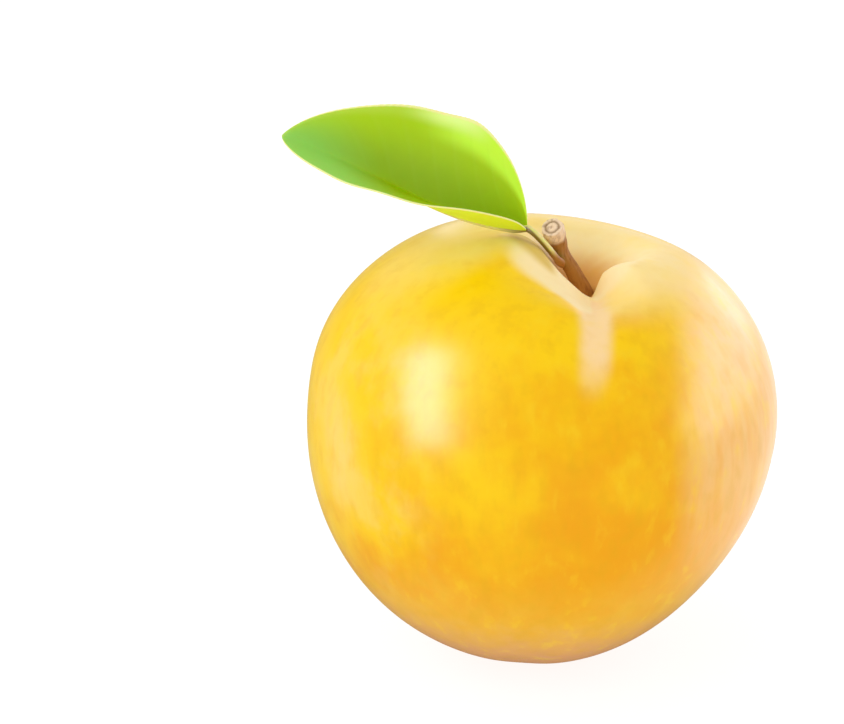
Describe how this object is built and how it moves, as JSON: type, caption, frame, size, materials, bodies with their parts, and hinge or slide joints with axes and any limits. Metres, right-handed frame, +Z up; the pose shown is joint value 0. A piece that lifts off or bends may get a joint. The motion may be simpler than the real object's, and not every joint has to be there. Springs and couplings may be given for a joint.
{
  "type": "plum",
  "caption": "Ripe golden-yellow plum with a shallow suture groove and a deep stem cavity, its short woody stem and a folded green leaf, resting on a small flat spot.",
  "frame": {"origin": "middle of the small flat spot that the plum rests on", "axes": "+Z up from the flat spot towards the stem; -Y towards the viewer, where the suture groove is; the leaf reaches towards -X"},
  "size_m": [0.0544, 0.0516, 0.0609],
  "materials": {
    "skin": "smooth waxy yellow skin, satin gloss",
    "stem": "dry pinkish-brown bark, matte",
    "leaf": "fresh green leaf, satin above and paler below"
  },
  "bodies": {
    "root": {"plum_fruit": "skin", "plum_stem": "stem", "plum_leaf": "leaf"}
  },
  "joints": []
}
